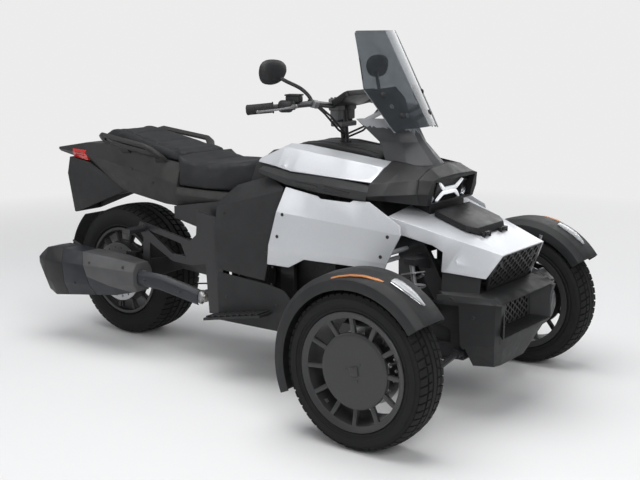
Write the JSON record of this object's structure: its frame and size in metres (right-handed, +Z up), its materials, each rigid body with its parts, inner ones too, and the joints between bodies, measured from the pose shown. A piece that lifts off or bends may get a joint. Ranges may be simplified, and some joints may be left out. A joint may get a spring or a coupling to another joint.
{
  "type": "motorized trike with two steered front wheels",
  "caption": "Open road trike: two steered wheels in front, one driven wheel behind, angular body, tandem seat, handlebar, short screen and front trunk.",
  "frame": {"origin": "on the floor, below the middle of the whole vehicle", "axes": "+X is forward, +Y is left, +Z is up; the front axle is at x = 0.95 m and the rear axle at x = -0.766 m"},
  "size_m": [2.5112, 1.42, 1.3998],
  "materials": {
    "bare_aluminium": "cast aluminium",
    "belt_rubber": "toothed belt",
    "black_plastic": "moulded black plastic",
    "dark_plastic": "moulded charcoal plastic",
    "disc_steel": "ground brake disc",
    "engine_casting": "dark engine castings",
    "frame_paint": "black frame paint",
    "grey_plastic": "moulded warm grey plastic",
    "grip_rubber": "ribbed grip rubber",
    "lamp_lens": "clear lamp lens",
    "muffler_shell": "grey silencer shell",
    "red_lens": "red lamp lens",
    "rim_paint": "dark grey wheel paint",
    "screen_black": "instrument glass",
    "seat_vinyl": "dark blue grey seat vinyl",
    "silver_paint": "satin light silver paint",
    "smoked_screen": "smoked clear plastic screen",
    "spring_steel": "black coated springs",
    "steel_pipe": "stainless pipe",
    "tyre": "black road tyre"
  },
  "bodies": {
    "chassis": {"belly_pan": "dark_plastic", "bumper": "dark_plastic", "console_pad": "black_plastic", "control_arms": "frame_paint", "drive_belt": "belt_rubber", "engine": "engine_casting", "exhaust_pipe": "steel_pipe", "footboards": "dark_plastic", "frame": "frame_paint", "frame_beams": "frame_paint", "front_cowl": "silver_paint", "grab_rails": "grey_plastic", "grilles": "black_plastic", "headlamps": "lamp_lens", "headlight_pod": "black_plastic", "heat_shield": "muffler_shell", "knee_panels": "dark_plastic", "muffler": "muffler_shell", "passenger_seat": "seat_vinyl", "plate_holder": "dark_plastic", "rack_housing": "bare_aluminium", "rear_mudguard": "dark_plastic", "rider_seat": "seat_vinyl", "screen_tower": "grey_plastic", "shocks": "spring_steel", "shoulder_trim": "dark_plastic", "side_panels": "silver_paint", "side_plates": "frame_paint", "swingarm": "frame_paint", "tail_cowl": "grey_plastic", "tail_lamp": "red_lens", "tank": "black_plastic", "tank_covers": "silver_paint", "trunk_tub": "dark_plastic", "windscreen": "smoked_screen"},
    "handlebar_set": {"handlebar": "frame_paint", "grips": "grip_rubber", "mirrors": "black_plastic", "hand_controls": "black_plastic", "display": "screen_black", "control_hoses": "belt_rubber"},
    "steer_left": {"upright_left": "bare_aluminium", "fender_left": "dark_plastic", "fender_lamps_left": "lamp_lens"},
    "steer_right": {"upright_right": "bare_aluminium", "fender_right": "dark_plastic", "fender_lamps_right": "lamp_lens"},
    "wheel_front_left": {"rim_front_left": "rim_paint", "tyre_front_left": "tyre", "disc_front_left": "disc_steel"},
    "wheel_front_right": {"rim_front_right": "rim_paint", "tyre_front_right": "tyre", "disc_front_right": "disc_steel"},
    "wheel_rear": {"rim_rear": "rim_paint", "tyre_rear": "tyre", "disc_rear": "disc_steel", "rear_pulley": "bare_aluminium"},
    "lid": {"trunk_lid": "black_plastic"},
    "rack_bar": {"tie_rods": "bare_aluminium"}
  },
  "joints": [
    {"name": "handlebar_turn", "type": "hinge", "parent": "chassis", "child": "handlebar_set", "pos_m": [0.432, 0, 0.966], "axis": [-0.1045, 0, 0.9945], "range_deg": [-32, 32]},
    {"name": "kingpin_left", "type": "hinge", "parent": "chassis", "child": "steer_left", "pos_m": [0.957, 0.505, 0.175], "axis": [-0.0854, -0.1214, 0.9889], "range_deg": [-26, 26]},
    {"name": "kingpin_right", "type": "hinge", "parent": "chassis", "child": "steer_right", "pos_m": [0.957, -0.505, 0.175], "axis": [-0.0854, 0.1214, 0.9889], "range_deg": [-26, 26]},
    {"name": "rack_slide", "type": "slide", "parent": "chassis", "child": "rack_bar", "axis": [0, 1, 0], "range_m": [-0.0735, 0.0735]},
    {"name": "wheel_spin_front_left", "type": "hinge", "parent": "steer_left", "child": "wheel_front_left", "pos_m": [0.95, 0.622, 0.281], "axis": [0, 1, 0], "continuous": true},
    {"name": "wheel_spin_front_right", "type": "hinge", "parent": "steer_right", "child": "wheel_front_right", "pos_m": [0.95, -0.622, 0.281], "axis": [0, 1, 0], "continuous": true},
    {"name": "wheel_spin_rear", "type": "hinge", "parent": "chassis", "child": "wheel_rear", "pos_m": [-0.766, 0, 0.303], "axis": [0, 1, 0], "continuous": true},
    {"name": "trunk_lid_hinge", "type": "hinge", "parent": "chassis", "child": "lid", "pos_m": [1.106, 0, 0.67448], "axis": [0, 1, 0], "range_deg": [0, 60]}
  ],
  "couplings": [
    {"joint": "kingpin_left", "follows": "handlebar_turn", "ratio": 0.8},
    {"joint": "kingpin_right", "follows": "handlebar_turn", "ratio": 0.8},
    {"joint": "rack_slide", "follows": "handlebar_turn", "m_per_rad": -0.1291}
  ]
}
